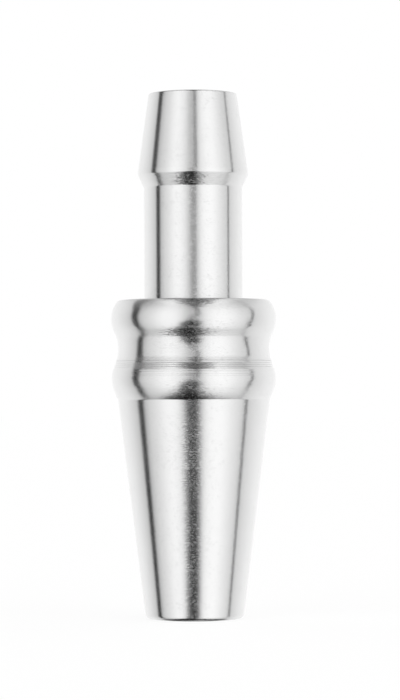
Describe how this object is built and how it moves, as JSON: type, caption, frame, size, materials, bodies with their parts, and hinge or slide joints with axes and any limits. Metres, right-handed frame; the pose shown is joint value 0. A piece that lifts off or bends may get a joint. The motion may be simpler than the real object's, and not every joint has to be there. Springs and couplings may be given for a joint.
{
  "type": "magnetic hose connector",
  "caption": "Turned hose connector whose halves are held together by ring magnets, with a barbed tail, a beaded collar and a tapered plug; the hose side swivels and pulls off.",
  "frame": {"origin": "centre of the flat face at the small end of the tapered plug, which is the lowest point", "axes": "+Z along the connector's axis, from the plug towards the hose barb; the part is round, so X and Y are free"},
  "size_m": [0.0206, 0.0206, 0.0655],
  "materials": {
    "turned_steel": "fine-turned and polished stainless steel",
    "magnet_plating": "satin nickel plating",
    "seal_rubber": "matt black rubber"
  },
  "bodies": {
    "port_side": {"port_taper": "turned_steel", "port_magnet": "magnet_plating"},
    "seals": {"upper_seal_ring": "seal_rubber", "lower_seal_ring": "seal_rubber"},
    "hose_side": {"hose_tail": "turned_steel", "hose_magnet": "magnet_plating"}
  },
  "joints": [
    {"name": "pull_off", "type": "slide", "parent": "port_side", "child": "seals", "axis": [0, 0, 1], "range_m": [0, 0.02]},
    {"name": "swivel", "type": "hinge", "parent": "seals", "child": "hose_side", "pos_m": [0, 0, 0.0321], "axis": [0, 0, 1], "continuous": true}
  ]
}
